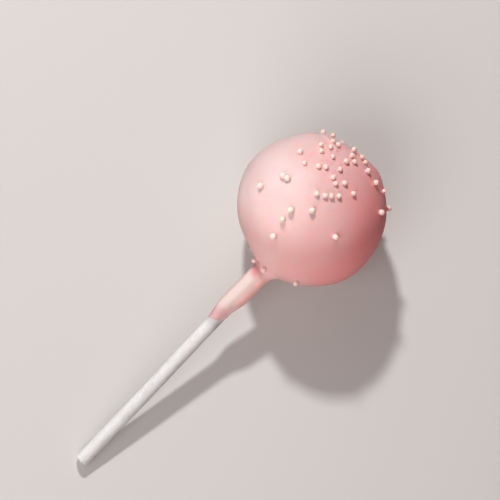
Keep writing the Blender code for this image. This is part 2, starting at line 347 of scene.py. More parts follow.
for side_name, side in (("+y", 0.0), ("-y", math.pi)):
    coat = sleeve_radius(SLEEVE_LEAN_END, side) - STICK_RADIUS
    print(f"on the {side_name} side the sleeve is {coat / MM:.2f} mm thick by the ball",
          f"and ends {sleeve_tip(side) / MM:.1f} mm from the stick's end")

# %% [markdown]
# ## One grid for the whole coating
#
# The grid is a profile carried round the axis: the arc of the ball, the arc of the fillet,
# the sleeve, the lip and the hole. Each stretch has rows of its own, close together where
# the shape is small. The fillet's centre is one fillet radius outside both the ball and the
# sleeve, which gives the angle at which the two arcs touch.

# %% Work out the coating's grid
COLUMNS = 300
BALL_ROWS, FILLET_ROWS, SLEEVE_ROWS, LIP_ROWS, HOLE_ROWS = 196, 16, 84, 5, 4


def coating_grid():
    """Rows of points from just past the crown to the end of the hole, for every side."""
    side = 2.0 * math.pi * np.arange(COLUMNS)[None, :] / COLUMNS
    fillet = FILLET + FILLET_LEAN * np.cos(side)
    neck = sleeve_radius(SLEEVE_LEAN_END, side)
    reach = NECK_RADIUS + fillet
    contact = np.arcsin((neck + fillet) / reach)

    share = np.arange(1, BALL_ROWS + 1)[:, None] / BALL_ROWS
    ball = ball_points((180.0 - np.degrees(contact)) * share, side)

    share = np.arange(1, FILLET_ROWS + 1)[:, None] / FILLET_ROWS
    turn = -contact - (math.pi / 2 - contact) * share
    middle = -reach * np.cos(contact)
    joint = stick_points(middle + fillet * np.cos(turn),
                         neck + fillet + fillet * np.sin(turn), side)

    share = np.arange(1, SLEEVE_ROWS + 1)[:, None] / SLEEVE_ROWS
    tip = sleeve_tip(side) - STICK_END_TO_CENTRE
    along = middle + (tip + FILM - middle) * share
    sleeve = stick_points(along, sleeve_radius(along + STICK_END_TO_CENTRE, side), side)

    turn = math.pi / 2 * np.arange(1, LIP_ROWS + 1)[:, None] / LIP_ROWS
    lip = stick_points(tip + FILM * (1.0 - np.sin(turn)),
                       STICK_RADIUS + FILM * np.cos(turn), side)

    end = STICK_LENGTH - STICK_END_TO_CENTRE + BORE_END_GAP
    share = np.arange(1, HOLE_ROWS + 1)[:, None] / HOLE_ROWS
    hole = stick_points(tip + (end - tip) * share, STICK_RADIUS - INTO_PAPER, side)
    return np.concatenate([ball, joint, sleeve, lip, hole])


grid = coating_grid()
crown = ball_points(np.zeros(1), np.zeros(1))[0]
hole_end = np.array([STICK_LENGTH - STICK_END_TO_CENTRE + BORE_END_GAP, STICK_OFFSET, 0.0])
print("coating grid:", grid.shape, f"crown at {crown[0] / MM:.2f} mm from the centre")

# %% [markdown]
# ## Where the pearls lie
#
# A sugar pearl is a ball of sugar about 1.5 mm across whose foot has sunk a little way
# into the coating while it was wet. They fell thickly on the crown and thinly elsewhere. On
# the side that shows, each pearl has its place as seen square to the stick: so many
# millimetres to the right of the ball's centre and above it. The groups go by where they
# lie, and the scattered pearls are the largest.

# %% List the pearls that show
PEARL_RADII = (0.66, 0.80)
LARGE_RADII = (0.80, 0.95)
LARGE_GROUP = "scattered"
BEHIND_GROUP = "behind the edge"

# Millimetres right and up of the ball's centre
SHOWN_PEARLS = {
    "edge round the crown": (
        (3.45, 21.35), (6.1, 20.5), (11.95, 16.55), (14.2, 14.55), (20.35, 5.1), (21.55, 0.45),
    ),
    "patch on the crown": (
        (2.8, 17.95), (2.95, 16.15), (6.05, 18.85), (5.45, 17.25), (7.6, 17.95), (11.4, 14.85),
        (5.95, 14.55), (9.8, 13.35), (12.05, 13.25), (15.2, 13.1), (15.8, 10.75), (2.0, 11.95),
        (3.95, 11.75), (8.05, 11.1), (17.95, 7.45), (-1.85, 12.85), (-2.95, 16.05),
    ),
    "line under the patch": (
        (6.0, 8.9), (6.75, 7.25), (9.25, 7.3), (1.55, 4.35), (3.9, 3.8), (5.6, 3.75),
        (7.65, 3.7), (11.65, 4.45),
    ),
    "scattered": (
        (19.55, -0.75), (0.25, -0.35), (-5.65, -0.25), (-7.75, 9.35), (-6.55, 8.65), (-13.95, 6.55),
        (-7.85, -2.75), (-10.45, -7.45), (6.65, -7.55),
    ),
    "by the stick": (
        (-13.05, -16.65), (-15.7, -14.1), (-4.15, -20.35),
    ),
    "behind the edge": (
        (-16.25, -10.7),
    ),
}

print({name: len(group) for name, group in SHOWN_PEARLS.items()})

# %% [markdown]
# ## Pearls on the side that shows
#
# A ray straight down finds the coating under each place, and where it misses, past the
# edge, the nearest spot of the skin is taken. The pearl's middle is above the skin, along
# its normal, so the aim is corrected a few times until the middle is where it should be.
# One pearl lies behind the edge and only its rim shows, so its ray comes from below. The
# random radii have a fixed seed.
#
# The rays need a tree of the coating's faces, which Blender builds from the outer rows of
# the grid and the fan at the crown.

# %% Place the pearls that show
PEARL_HEIGHT = 0.85
PEARL_SEED = 27
PLACING_STEPS = 3


def shown_spot(tree, right, up, height, front):
    """The skin's point and normal under a pearl seen right and up of the ball's centre."""
    seen = Vector((right * math.cos(STICK_ANGLE) + up * math.sin(STICK_ANGLE),
                   up * math.cos(STICK_ANGLE) - right * math.sin(STICK_ANGLE),
                   0.0)) * MM
    above = Vector((0.0, 0.0, 2.0 * front * BALL_RADIUS))
    aimed = seen.copy()
    for _ in range(PLACING_STEPS):
        spot, normal, _, _ = tree.ray_cast(aimed + above, -above)
        if spot is None:
            spot, normal, _, _ = tree.find_nearest(aimed)
        miss = seen - (spot + normal * height)
        aimed += Vector((miss.x, miss.y, 0.0))
    return spot, normal


def shown_pearls(tree, draw):
    """Middle and radius of each pearl on the side that shows."""
    places = []
    for name, group in SHOWN_PEARLS.items():
        span = LARGE_RADII if name == LARGE_GROUP else PEARL_RADII
        front = -1.0 if name == BEHIND_GROUP else 1.0
        for right, up in group:
            radius = draw.uniform(*span) * MM
            spot, normal = shown_spot(tree, right, up, radius * PEARL_HEIGHT, front)
            places.append((spot + normal * radius * PEARL_HEIGHT, radius))
    return places


outer_rows = BALL_ROWS + FILLET_ROWS + SLEEVE_ROWS
outside = np.concatenate([grid[:outer_rows].reshape(-1, 3), [crown]])
outer_fan = grid_fans(outer_rows, COLUMNS, len(outside) - 1, len(outside) - 1)[:COLUMNS]
tree = BVHTree.FromPolygons(outside.tolist(), grid_quads(outer_rows, COLUMNS).tolist()
                            + outer_fan.tolist())
draw = random.Random(PEARL_SEED)
shown = shown_pearls(tree, draw)
print(len(shown), "pearls show")

# %% [markdown]
# ## Pearls below
#
# On the side that lies down, a rule spreads the pearls: dense round the crown, thin
# elsewhere, none near the stick, none through the table and none in each other. It draws a
# direction, keeps it by chance, and stops when there are enough.

# %% Place the pearls below
HIDDEN_PEARLS, HIDDEN_TRIES, HIDDEN_BELOW = 36, 4000, -0.3
CROWN_SPREAD, THIN_SPREAD, NECK_CLEAR = 50.0, 0.07, 150.0
PEARL_SPACING = 1.9 * MM
PEARL_FLOOR_GAP = 0.4 * MM


def hidden_pearls(tree, draw, shown):
    """Middle and radius of each pearl below, clear of the table and of the others."""
    world_up = Vector((math.sin(STICK_SLOPE), 0.0, math.cos(STICK_SLOPE)))
    places = []
    for _ in range(HIDDEN_TRIES):
        if len(places) == HIDDEN_PEARLS:
            break
        height = draw.uniform(-1.0, HIDDEN_BELOW)
        turn = draw.uniform(0.0, 2.0 * math.pi)
        level = math.sqrt(1.0 - height * height)
        direction = Vector((level * math.cos(turn), level * math.sin(turn), height))
        polar = math.degrees(math.acos(direction.x))
        chance = math.exp(-(polar / CROWN_SPREAD) ** 2) + THIN_SPREAD
        keep = draw.random() < chance and polar < NECK_CLEAR
        radius = draw.uniform(*PEARL_RADII) * MM
        spot, normal, _, _ = tree.ray_cast(direction * 2.0 * BALL_RADIUS, -direction)
        middle = spot + normal * radius * PEARL_HEIGHT
        floor_gap = middle.dot(world_up) + BALL_HEIGHT - radius
        nearest = min((middle - other[0]).length for other in shown + places)
        if keep and floor_gap > PEARL_FLOOR_GAP and nearest > PEARL_SPACING:
            places.append((middle, radius))
    return places


hidden = hidden_pearls(tree, draw, shown)
middles = np.array([list(place[0]) for place in shown + hidden])
radii = np.array([place[1] for place in shown + hidden])
print(len(hidden), "pearls lie below")

# %% [markdown]
# ## Soft waves, collars and the flat spot
#
# Three small things tell a dipped coating from a smooth plastic ball. It has low waves a
# centimetre long. It has crept up a little round each pearl, as a collar. And it is
# flattened where it rests.
#
# The waves are a mean of a few sines of the point's own position, so they have no seam, and
# they fade out before the neck. The collar is a rise that eases to nothing past the pearl's
# foot. Near the crown some coating has set as a short drip, a bell of the distance to a
# line. The flat spot is a soft maximum of the height above the table and zero: half of z
# plus the root of z squared plus a small square.

# %% Shape the coating's skin
WAVE_HEIGHT = 0.035 * MM
WAVES = (
    ((0.31, 0.47, -0.22), 0.4), ((-0.52, 0.18, 0.36), 1.9), ((0.12, -0.61, 0.41), 3.1),
    ((0.66, 0.29, 0.52), 4.4), ((-0.38, 0.74, 0.11), 5.2), ((0.09, 0.33, -0.83), 2.6),
)
COLLAR_HEIGHT = 0.13 * MM
COLLAR_WIDTH = 0.55 * MM
FOOT_SHARE = 0.8
FLAT_SOFTNESS, FLAT_REACH = 0.2 * MM, 1.0 * MM
WAVES_FADE_ROW = 0.85 * BALL_ROWS
DRIP_HEIGHT, DRIP_WIDTH = 0.42 * MM, 0.38 * MM
DRIP_FROM, DRIP_TO = (4.2, 20.4), (6.9, 16.6)


def skin_normals(points):
    """Unit cross product of the step to the next row and the step to the next column."""
    down = np.gradient(points, axis=0)
    round_ = np.roll(points, -1, axis=1) - np.roll(points, 1, axis=1)
    normal = np.cross(down, round_)
    return normal / np.linalg.norm(normal, axis=-1, keepdims=True)


def wave_height(points):
    """Mean of sines of the position along a few directions, in radians a millimetre."""
    total = sum(np.sin(points @ np.array(step) / MM + phase) for step, phase in WAVES)
    return WAVE_HEIGHT * total / len(WAVES)


def collar_height(points):
    """The rise round the pearls: the height at a pearl's foot, easing to 0 past it."""
    rise = np.zeros(points.shape[:-1])
    for middle, radius in zip(middles, radii):
        away = np.linalg.norm(points - middle, axis=-1)
        foot = radius * FOOT_SHARE
        rise = np.maximum(rise, 1.0 - ease(foot, foot + COLLAR_WIDTH, away))
    return COLLAR_HEIGHT * rise


def drip_height(points):
    """A bell of the distance to the drip's line, as seen square to the stick from above."""
    seen = np.stack([points @ SEEN_RIGHT, points @ SEEN_UP], axis=-1) / MM
    start = np.array(DRIP_FROM)
    step = np.array(DRIP_TO) - start
    share = np.clip((seen - start) @ step / (step @ step), 0.0, 1.0)
    away = np.linalg.norm(seen - start - share[..., None] * step, axis=-1)
    return DRIP_HEIGHT * bell(away, DRIP_WIDTH / MM) * (points[..., 2] > 0.0)


def press_flat(points):
    """Soft maximum of the height above the table and zero, back in the pop frame."""
    placed = to_table(points)
    height = placed[..., 2]
    lifted = 0.5 * (height + np.sqrt(height ** 2 + FLAT_SOFTNESS ** 2))
    placed[..., 2] = np.where(height < FLAT_REACH, np.maximum(height, lifted), height)
    return (placed - BALL_CENTRE) @ POP_AXES.T


moved = grid[:BALL_ROWS]
fade = 1.0 - ease(WAVES_FADE_ROW, BALL_ROWS - 1.0, np.arange(BALL_ROWS))[:, None]
rise = wave_height(moved) * fade + np.maximum(collar_height(moved), drip_height(moved))
grid[:BALL_ROWS] = press_flat(moved + skin_normals(grid)[:BALL_ROWS] * rise[..., None])
print(f"collars and waves move the skin by {rise.min() / MM:.2f} to {rise.max() / MM:.2f} mm")

# %% [markdown]
# ## The coating's object
#
# The grid becomes one closed mesh that stands for the coated ball's solid. It rides on the
# pop's one body. Four numbers go with each point, for the nodes to read. "coat" is how much
# coating there is on the stick, down to nothing at the thin edge. "depth" is how deep the
# pop is there, so that light sinks in on the ball and not on the thin sleeve. The crease
# number is painted shade in the corner at the root of the sleeve, strongest on one side.
# "sleeve" rises from 0 on the ball to 1 where the sleeve has taken over.

# %% Make the coating
# Where the painted shade in the crease lies, and how far it spreads.
CREASE_ROW = BALL_ROWS + FILLET_ROWS + 1
CREASE_SPREAD, CREASE_ROUND = 1.6 * MM, 0.1
CREASE_SIDE, CREASE_TURN = math.radians(62.0), math.radians(31.0)
SLEEVE_FROM, SLEEVE_TO = 19.5 * MM, 24.5 * MM
FULL_DEPTH = 8.0 * MM


def coat_share(points, full):
    """0 on the stick's skin, easing to 1 at a full distance out from it."""
    radius = np.hypot(points[..., 1] - STICK_OFFSET, points[..., 2])
    past_crown = points[..., 0] > 0.0
    return np.where(past_crown, 1.0, ease(STICK_RADIUS + FILM, STICK_RADIUS + full, radius))


def crease_share(points):
    """Painted shade: a bell of the distance to the sleeve's root, times one of the turn to its dark
    side.
    """
    side = 2.0 * math.pi * np.arange(COLUMNS) / COLUMNS
    turn = (side - CREASE_SIDE + math.pi) % (2.0 * math.pi) - math.pi
    near = bell(np.linalg.norm(points - points[CREASE_ROW], axis=-1), CREASE_SPREAD)
    return near * (CREASE_ROUND + (1.0 - CREASE_ROUND) * bell(turn, CREASE_TURN))


coating = skin_object("coating", grid, crown, hole_end)
add_values(coating, "coat", np.append(coat_share(grid, SLEEVE_COAT), [1.0, 1.0]))
add_values(coating, "depth", np.append(coat_share(grid, FULL_DEPTH), [1.0, 1.0]))
add_values(coating, "crease", np.append(crease_share(grid), [0.0, 0.0]))
add_values(coating, "sleeve", np.append(ease(SLEEVE_FROM, SLEEVE_TO, -grid[..., 0]), [0.0, 0.0]))
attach(coating, "root")
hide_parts("coated_ball")

# %% [markdown]
# ## The sugar pearls
#
# Sugar pearls are tumbled in a pan, so they are round, but each is a little off: one side
# flatter, another fuller. One small ball of rows and columns is worked out once. Its points
# are directions, and each pearl stretches them by its own radius and by three low waves with
# phases of its own. All pearls together are one array, and one mesh.

# %% Make the pearls
PEARL_ROWS, PEARL_COLUMNS = 11, 20
PEARL_UNEVEN = 0.035
PEARL_WAVES = ((2.1, 0.7, -1.3), (-1.1, 2.3, 0.6), (0.8, -1.4, 2.2))


def pearl_points(spread):
    """Middle plus direction times radius, where the radius takes three low waves."""
    polar = math.pi * np.arange(1, PEARL_ROWS + 1)[:, None] / (PEARL_ROWS + 1)
    side = 2.0 * math.pi * np.arange(PEARL_COLUMNS)[None, :] / PEARL_COLUMNS
    ring = np.stack([np.sin(polar) * np.cos(side), np.sin(polar) * np.sin(side),
                     np.cos(polar) + 0.0 * side], axis=-1).reshape(-1, 3)
    directions = np.concatenate([ring, [(0.0, 0.0, 1.0), (0.0, 0.0, -1.0)]])
    phases = spread.uniform(0.0, 2.0 * math.pi, (len(radii), 1, len(PEARL_WAVES)))
    waves = np.sin(directions @ np.array(PEARL_WAVES).T + phases).sum(axis=-1)
    radius = radii[:, None] * (1.0 + PEARL_UNEVEN * waves)
    return middles[:, None, :] + directions[None] * radius[..., None]


pearl_cloud = pearl_points(np.random.default_rng(PEARL_SEED))
each = pearl_cloud.shape[1]
starts = each * np.arange(len(radii))[:, None, None]
one_quads = grid_quads(PEARL_ROWS, PEARL_COLUMNS)
one_fans = grid_fans(PEARL_ROWS, PEARL_COLUMNS, each - 2, each - 1)
sugar = make_mesh("sugar_pearls", to_table(pearl_cloud.reshape(-1, 3)),
                  (one_quads[None] + starts).reshape(-1, 4),
                  (one_fans[None] + starts).reshape(-1, 3))
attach(sugar, "root")

# %% [markdown]
# ## The paper stick
#
# A cake pop's stick is a strip of white paper, rolled up hard with glue until it is solid.
# Three things give it away from close by: the outer edge of the strip is a fine step that
# runs along the stick, the cut end shows the roll as a spiral, and the roll is never quite
# straight.
#
# The surface is a radius that depends on how far along and how far round it is. The step is
# a ramp once round the stick that falls back at the seam. The end is a low dome whose spiral
# groove follows the angle plus the distance from the middle.
#
# Each point carries a number for the nodes here too: a bell of the distance along the stick
# to a darker grey band just past the sleeve's edge.

# %% Make the stick
STICK_COLUMNS = 96
END_ROWS, EDGE_ROWS, SHAFT_ROWS = 34, 8, 300
SEAM_STEP = 0.05 * MM
SEAM_AT, SEAM_TURN = 1.05, 0.5
SEAM_WIDTH = 0.16
DOME = 0.28 * MM
SPIRAL_PITCH, SPIRAL_DEPTH, SPIRAL_SHARPNESS = 0.33 * MM, 0.05 * MM, 3
SPIRAL_RISES, SPIRAL_FADES = (0.0, 0.2), (0.85, 1.0)
BOW, BOW_AT, BOW_SPREAD = 0.12 * MM, 25.0 * MM, 16.0 * MM
SWELL, QUICK_SWELL, SLOW_SWELL = 0.00625 * MM, 0.9, 0.37
GREY_BAND_AT, GREY_BAND_SPREAD = 53.7 * MM, 0.9 * MM


def seam_lift(from_end, side):
    """A ramp from -1/2 to 1/2 of the step once round, falling back over a narrow seam."""
    turn = (side - SEAM_AT - SEAM_TURN * from_end / STICK_LENGTH) % (2.0 * math.pi)
    share = turn / (2.0 * math.pi)
    return SEAM_STEP * (share - 0.5 - ease(2.0 * math.pi - SEAM_WIDTH, 2.0 * math.pi, turn))


def shaft_radius(from_end, side):
    """The stick's radius, the seam's ramp, and two slow sines along and round it."""
    swell = (np.sin(QUICK_SWELL * from_end / MM + 2.0 * side)
             + np.sin(SLOW_SWELL * from_end / MM - side))
    return STICK_RADIUS - 0.5 * SEAM_STEP + seam_lift(from_end, side) + SWELL * swell


def stick_grid():
    """Rows over the end's dome, round its edge, and along the shaft to the inner end."""
    side = 2.0 * math.pi * np.arange(STICK_COLUMNS)[None, :] / STICK_COLUMNS
    face = STICK_RADIUS - STICK_EDGE
    share = np.arange(1, END_ROWS + 1)[:, None] / END_ROWS
    reach = share * face
    turns = reach / SPIRAL_PITCH - side / (2.0 * math.pi)
    groove = SPIRAL_DEPTH * (0.5 + 0.5 * np.cos(2.0 * math.pi * turns)) ** SPIRAL_SHARPNESS
    groove = groove * ease(*SPIRAL_RISES, share) * (1.0 - ease(*SPIRAL_FADES, share))
    dome = DOME * share ** 2 + groove
    end = stick_points(dome - STICK_END_TO_CENTRE, reach, side)

    turn = math.pi / 2 * np.arange(1, EDGE_ROWS + 1)[:, None] / EDGE_ROWS
    outer = shaft_radius(DOME + STICK_EDGE, side)
    edge = stick_points(DOME + STICK_EDGE * (1.0 - np.cos(turn)) - STICK_END_TO_CENTRE,
                        face + (outer - face) * np.sin(turn), side)

    start = DOME + STICK_EDGE
    along = start + (STICK_LENGTH - start) * np.arange(1, SHAFT_ROWS + 1)[:, None] / SHAFT_ROWS
    shaft = stick_points(along - STICK_END_TO_CENTRE, shaft_radius(along, side), side)
    rolled = np.concatenate([end, edge, shaft])
    from_end = rolled[..., 0] + STICK_END_TO_CENTRE
    rolled[..., 1] -= BOW * bell(from_end - BOW_AT, BOW_SPREAD)
    return rolled


rolled = stick_grid()
end_middle = np.array([-STICK_END_TO_CENTRE, STICK_OFFSET, 0.0])
inner_middle = np.array([STICK_LENGTH - STICK_END_TO_CENTRE, STICK_OFFSET, 0.0])
stick = skin_object("paper_stick", rolled[::-1], inner_middle, end_middle)
# A darker grey band on the paper, just past the sleeve's edge.
soaked = bell(rolled[::-1, :, 0] + STICK_END_TO_CENTRE - GREY_BAND_AT, GREY_BAND_SPREAD)
add_values(stick, "soaked", np.append(soaked, [0.0, 0.0]))
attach(stick, "root")
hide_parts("stick")

# %% [markdown]
# ## Helpers for finishes
#
# A finish is a small graph of nodes. All of them start from Object coordinates, which stay
# with the piece however the camera moves. A Mapping node of the TEXTURE kind undoes the
# pop's place and slope first, so that a pattern can be stretched along the stick.

# %% Node helpers
class Finish:
    """A Principled material, and short ways to add nodes to it."""

    def __init__(self, name):
        self.material = bpy.data.materials.new(name)
        self.material.use_nodes = True
        self.tree = self.material.node_tree
        self.shader = self.tree.nodes["Principled BSDF"]
        self.coordinates = self.tree.nodes.new("ShaderNodeTexCoord").outputs["Object"]

    def add(self, kind, **inputs):
        """A node of this kind, with its sockets set to a value or joined to a socket."""
        node = self.tree.nodes.new(kind)
        for name, value in inputs.items():
            self.join(node.inputs[name.replace("_", " ")], value)
        return node

    def join(self, socket, value):
        """Join a socket to another, or set it to a plain value."""
        if isinstance(value, bpy.types.NodeSocket):
            self.tree.links.new(value, socket)
        else:
            socket.default_value = value

    def set(self, **inputs):
        """Set or join the shader's own sockets."""
        for name, value in inputs.items():
            self.join(self.shader.inputs[name.replace("_", " ")], value)

    def noise(self, size, detail=2.0, rough=0.5, stretch=1.0):
        """Noise with features of this size in metres, stretched along the stick."""
        mapping = self.add("ShaderNodeMapping", Vector=self.coordinates)
        mapping.vector_type = "TEXTURE"
        mapping.inputs["Location"].default_value = BALL_CENTRE
        mapping.inputs["Rotation"].default_value = (0.0, -STICK_SLOPE, 0.0)
        mapping.inputs["Scale"].default_value = (size * stretch, size, size)
        noise = self.add("ShaderNodeTexNoise", Vector=mapping.outputs[0], Scale=1.0,
                         Detail=detail, Roughness=rough)
        return noise.outputs["Fac"]

    def ramp(self, value, low, high, to_low=0.0, to_high=1.0):
        """Carry a range of values over to another one, eased at both ends."""
        node = self.add("ShaderNodeMapRange", Value=value, From_Min=low, From_Max=high,
                        To_Min=to_low, To_Max=to_high)
        node.interpolation_type = "SMOOTHSTEP"
        return node.outputs["Result"]

    def blend(self, share, one, other):
        """Mix two colours by a share."""
        node = self.tree.nodes.new("ShaderNodeMix")
        node.data_type = "RGBA"
        for socket, value in ((node.inputs[0], share), (node.inputs[6], one),
                              (node.inputs[7], other)):
            self.join(socket, value)
        return node.outputs[2]

    def along(self, direction):
        """How far a point lies from the ball's centre in a direction, in ball radii."""
        from_centre = self.tree.nodes.new("ShaderNodeVectorMath")
        from_centre.operation = "SUBTRACT"
        self.join(from_centre.inputs[0], self.coordinates)
        self.join(from_centre.inputs[1], tuple(BALL_CENTRE))
        reach = self.tree.nodes.new("ShaderNodeVectorMath")
        reach.operation = "DOT_PRODUCT"
        self.join(reach.inputs[0], from_centre.outputs["Vector"])
        self.join(reach.inputs[1], tuple(direction / BALL_RADIUS))
        return reach.outputs["Value"]

    def mean(self, one, other, share):
        """One value times 1 minus a share, plus the other times the share."""
        node = self.tree.nodes.new("ShaderNodeMix")
        for socket, value in ((node.inputs[0], share), (node.inputs[2], one),
                              (node.inputs[3], other)):
            self.join(socket, value)
        return node.outputs[0]

    def attribute(self, name):
        """A number that the mesh carries for each point."""
        node = self.tree.nodes.new("ShaderNodeAttribute")
        node.attribute_name = name
        return node.outputs["Fac"]

    def bump(self, height, depth, under=None):
        """Small relief of a depth in metres, over the relief of another bump."""
        node = self.add("ShaderNodeBump", Height=height, Distance=depth, Strength=1.0)
        if under is not None:
            self.tree.links.new(under, node.inputs["Normal"])
        return node.outputs["Normal"]


def colour(red, green, blue):
    """A colour with full alpha."""
    return (red, green, blue, 1.0)


print("helpers:", ", ".join(name for name in vars(Finish) if not name.startswith("_")))

# %% [markdown]
# ## The pink of the ball
#
# One flat pink would look like plastic. The pink here carries painted light and shade. It is
# pale on the upper left as the camera sees it, a painted highlight where the light falls, and
# palest at the left edge. It is warmer low down, a painted warm fill, and deeper on the far
# right, a painted shade. Noise breaks the drift up as a random tone, and two soft round
# patches change it once more: painted shade among the pearls by the crown, and a painted
# light patch in the middle.
#
# A direction says where each change lies. How far a point lies from the ball's centre in
# that direction is 1 where the ball faces that way, and a ramp turns a span of it into a
# share of the colour.

# %% Colour the ball
# The pale pink is painted light for the lit upper left, the deep pink painted shade for the far
# right.
LIT_SIDE_PINK = colour(0.69, 0.55, 0.54)
LIT_EDGE_PINK = colour(0.83, 0.69, 0.67)
WARM_FILL_PINK = colour(0.86, 0.54, 0.515)
SHADED_SIDE_PINK = colour(0.87, 0.29, 0.29)
SHADED_SIDE, SHADED_SIDE_SPAN = 0.91 * RIGHT - 0.42 * UP, (-0.35, 1.12)
WARM_FILL_SIDE, WARM_FILL_SPAN = -UP, (-0.6, 0.9)
LIT_EDGE, LIT_EDGE_SPAN = -RIGHT, (0.80, 1.0)
CROWN_SHADE, CROWN_SHADE_SPAN, CROWN_SHADE_SHARE = 0.22 * RIGHT + 0.74 * UP + 0.63 * ABOVE, (0.80, 1.02), 0.20
MIDDLE_LIGHT, MIDDLE_LIGHT_SPAN, MIDDLE_LIGHT_SHARE = 0.12 * RIGHT - 0.27 * UP + 0.95 * ABOVE, (0.78, 1.02), 0.55
CLOUD_SIZE, CLOUD_SHARE = 9.0 * MM, 0.12

pink = Finish("satin_pink")
# Painted shade: a ramp from the lit upper left to the shaded far right, broken by a random tone.
shading_and_tone = pink.ramp(pink.along(SHADED_SIDE), *SHADED_SIDE_SPAN)
shading_and_tone = pink.mean(shading_and_tone, pink.noise(CLOUD_SIZE), CLOUD_SHARE)
# Painted shade: a deeper patch among the crowded pearls by the crown.
crown_shade = pink.ramp(pink.along(CROWN_SHADE), *CROWN_SHADE_SPAN, 0.0, CROWN_SHADE_SHARE)
# Painted light: a paler patch in the middle of the ball.
middle_light = pink.ramp(pink.along(MIDDLE_LIGHT), *MIDDLE_LIGHT_SPAN, 0.0, MIDDLE_LIGHT_SHARE)
shading_and_tone = pink.mean(pink.mean(shading_and_tone, 1.0, crown_shade), 0.0, middle_light)
# Painted light: paler still at the left edge, which faces the light.
lit_edge = pink.ramp(pink.along(LIT_EDGE), *LIT_EDGE_SPAN)
lit_side_colour = pink.blend(lit_edge, LIT_SIDE_PINK, LIT_EDGE_PINK)
# Painted warm fill: a warmer pink on the lower side.
warm_fill = pink.ramp(pink.along(WARM_FILL_SIDE), *WARM_FILL_SPAN)
pink_colour = pink.blend(shading_and_tone, pink.blend(warm_fill, lit_side_colour, WARM_FILL_PINK), SHADED_SIDE_PINK)
print("nodes for the ball's pink:", len(pink.tree.nodes))

# %% [markdown]
# ## The pink of the sleeve
#
# Over the paper the coating is thin. It is cream on the lit side of the sleeve and pink on
# the shaded side, and the pink is painted much brighter than the cream: painted light that
# evens out the shading. Streaks run along it where the coating crept down. Its film lets the
# paper through at the edge, and it is painted the same way, darker on the lit side. The
# crease at its root is the reddest spot, a painted shade. The numbers that the mesh carries
# say where each of these is.

# %% Colour the sleeve
# Lit and shaded copies: darker cream for the lit side, brighter pink for the shaded side, painted
# light.
LIT_SLEEVE_CREAM = colour(0.60, 0.47, 0.44)
SHADED_SLEEVE_PINK = colour(0.93, 0.54, 0.49)
LIT_FILM_PINK = colour(0.50, 0.285, 0.285)
SHADED_FILM_PINK = colour(0.95, 0.66, 0.64)
CREASE_SHADE_PINK = colour(0.42, 0.085, 0.085)
STREAK_SIZE, STREAK_STRETCH, STREAK_SHARE = 2.0 * MM, 2.5, 0.15
SLEEVE_SHADE_SPAN = (0.14, 0.24)
CREASE_SHADE_SPAN, CREASE_SHADE_SHARE = (0.1, 1.0), 0.8

streaks = pink.noise(STREAK_SIZE, stretch=STREAK_STRETCH)
# Painted light: the share of the shaded side's brighter pink, broken by streaks.
sleeve_shaded_side = pink.ramp(pink.mean(pink.along(-ACROSS), streaks, STREAK_SHARE), *SLEEVE_SHADE_SPAN)
sleeve_colour = pink.blend(sleeve_shaded_side, LIT_SLEEVE_CREAM, SHADED_SLEEVE_PINK)
# The film is painted the same way: darker on the lit side, paler on the shaded side.
film_colour = pink.blend(sleeve_shaded_side, LIT_FILM_PINK, SHADED_FILM_PINK)
film = pink.ramp(pink.attribute("coat"), 0.0, 1.0, 1.0, 0.0)
# Painted shade: the corner at the sleeve's root is painted dark red.
crease = pink.ramp(pink.attribute("crease"), *CREASE_SHADE_SPAN, 0.0, CREASE_SHADE_SHARE)
pink_colour = pink.blend(pink.attribute("sleeve"), pink_colour, sleeve_colour)
pink_colour = pink.blend(film, pink_colour, film_colour)
pink_colour = pink.blend(crease, pink_colour, CREASE_SHADE_PINK)
print("nodes with the sleeve's colours:", len(pink.tree.nodes))

# %% [markdown]
# ## The satin skin
#
# Melted candy coating sets with a satin skin. A little light sinks into it and comes back
# redder, so the shader scatters light under the skin, a third of a millimetre deep and
# deepest for red. More than that would wash out the pearls' small shadows. The sleeve is
# too thin for it, so the "depth" number weighs it from place to place.
#
# The relief is very low: a faint orange peel half a millimetre across, over dimples a few
# millimetres across. Roughness drifts too, since the skin is a little duller where it was
# touched.

# %% Give the coating its relief and gloss
PEEL_SIZE, PEEL_DEPTH = 0.55 * MM, 0.02 * MM
DIMPLE_SIZE, DIMPLE_DEPTH = 2.6 * MM, 0.05 * MM
DULL_SIZE, SATIN = 4.0 * MM, (0.31, 0.38)
NOISE_SPAN = (0.3, 0.7)
LIGHT_DEPTH, LIGHT_COLOURS = 0.3 * MM, (1.0, 0.35, 0.25)
SWEET_IOR = 1.46

peel = pink.bump(pink.noise(PEEL_SIZE), PEEL_DEPTH)
peel = pink.bump(pink.noise(DIMPLE_SIZE, detail=1.0), DIMPLE_DEPTH, under=peel)
dullness = pink.ramp(pink.noise(DULL_SIZE, detail=3.0), *NOISE_SPAN, *SATIN)
pink.set(Base_Color=pink_colour, Roughness=dullness, Normal=peel, IOR=SWEET_IOR,
         Subsurface_Weight=pink.attribute("depth"), Subsurface_Radius=LIGHT_COLOURS,
         Subsurface_Scale=LIGHT_DEPTH)
coating.data.materials.append(pink.material)
print("nodes with relief and gloss:", len(pink.tree.nodes))

# %% [markdown]
# ## The sugar
#
# Polished sugar is cream white, a little see-through, and has fine pits. The pearls are
# painted pinker towards the crown, a painted pink bounce light from the coating round them,
# and they are pinker by the stick.

